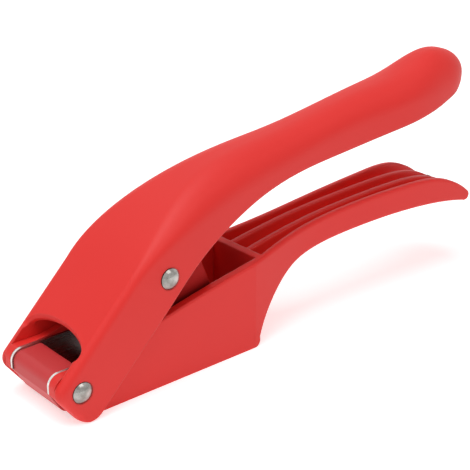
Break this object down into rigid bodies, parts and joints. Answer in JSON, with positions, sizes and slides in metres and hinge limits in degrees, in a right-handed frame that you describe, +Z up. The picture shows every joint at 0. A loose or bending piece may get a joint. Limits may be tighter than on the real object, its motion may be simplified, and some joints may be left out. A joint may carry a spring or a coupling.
{
  "type": "garlic press",
  "caption": "Hand garlic press: two red plastic levers riveted at the nose, a plunger hung in the hooded upper lever, and a perforated steel basket in the lower one.",
  "frame": {"origin": "centre of the object's bounding box on the surface it stands on", "axes": "+X from the nose hinge to the handle tips, +Y across the press, +Z up"},
  "size_m": [0.1962, 0.0386, 0.0869],
  "materials": {
    "handle_red": "fine matte moulding",
    "insert_red": "smooth moulding",
    "sheet_steel": "brushed stainless sheet",
    "rivet_steel": "satin stainless"
  },
  "bodies": {
    "lower": {"lower_handle": "handle_red", "sieve_basket": "sheet_steel", "nose_spacer": "insert_red", "hinge_pin": "rivet_steel", "hinge_pin_cap": "rivet_steel"},
    "upper": {"upper_handle": "handle_red", "plunger_pin": "rivet_steel", "plunger_pin_cap": "rivet_steel"},
    "plunger": {"plunger": "insert_red"}
  },
  "joints": [
    {"name": "handle_hinge", "type": "hinge", "parent": "lower", "child": "upper", "pos_m": [-0.08995, 0, 0.0115], "axis": [0, -1, 0], "range_deg": [-8.4, 100]},
    {"name": "plunger_pivot", "type": "hinge", "parent": "upper", "child": "plunger", "pos_m": [-0.05565, 0, 0.0391], "axis": [0, -1, 0], "range_deg": [-25, 2.1]}
  ],
  "couplings": [
    {"joint": "plunger_pivot", "follows": "handle_hinge", "ratio": -0.25}
  ]
}
